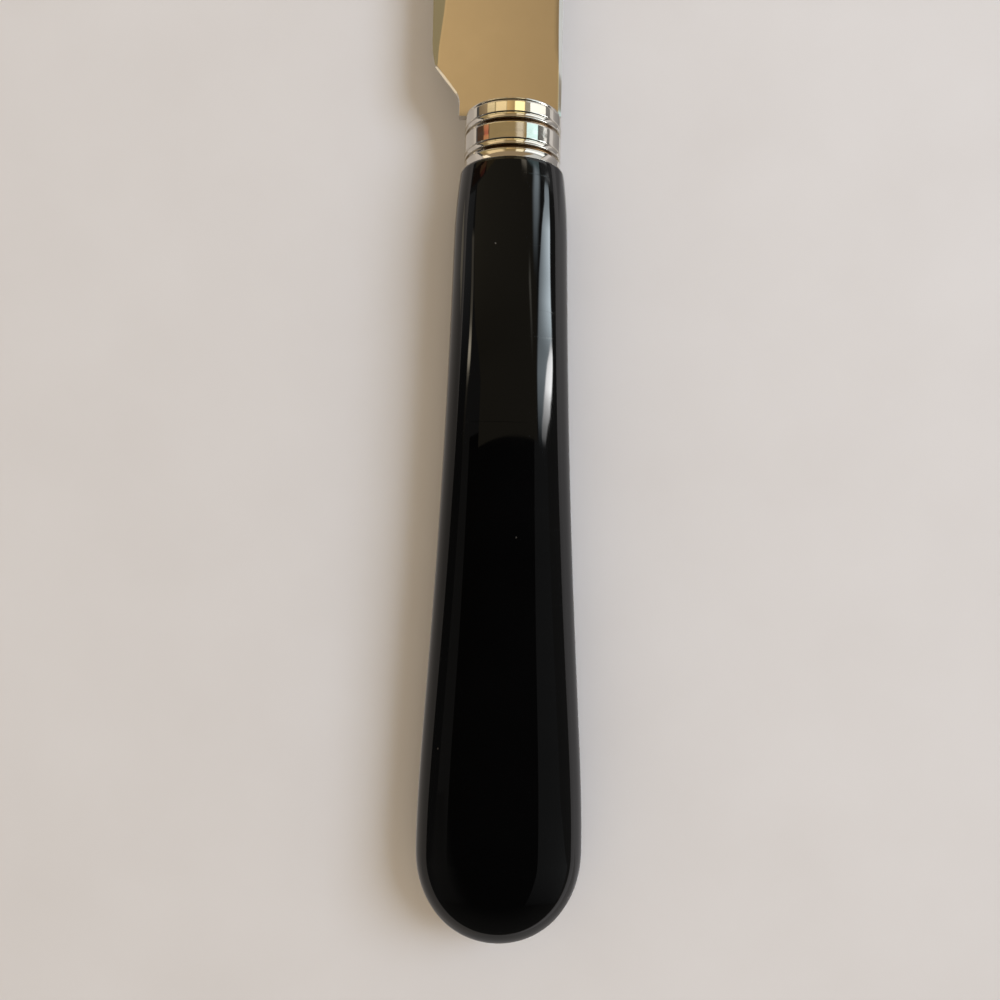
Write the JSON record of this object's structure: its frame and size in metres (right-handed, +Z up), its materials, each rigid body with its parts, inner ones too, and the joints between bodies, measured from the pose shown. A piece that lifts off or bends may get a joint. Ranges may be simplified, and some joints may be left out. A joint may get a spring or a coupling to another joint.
{
  "type": "dinner knife",
  "caption": "Table knife lying on its side: polished steel blade with a rounded tip, ringed oval plated ferrule and a glossy black handle that swells to a rounded butt.",
  "frame": {"origin": "middle of the knife's length and width, on the plane that the handle's underside rests on", "axes": "+Y along the knife towards the blade's tip, +Z up out of the blade's side, -X towards the cutting edge"},
  "size_m": [0.022, 0.2292, 0.0126],
  "materials": {
    "polished_steel": "polished",
    "plated_metal": "polished",
    "black_acrylic": "gloss",
    "set_cement": "matte"
  },
  "bodies": {
    "root": {"blade": "polished_steel", "ferrule_end_plate": "plated_metal", "ferrule_shell": "plated_metal", "ferrule_cement": "set_cement", "handle": "black_acrylic", "tang_cement": "set_cement"}
  },
  "joints": []
}
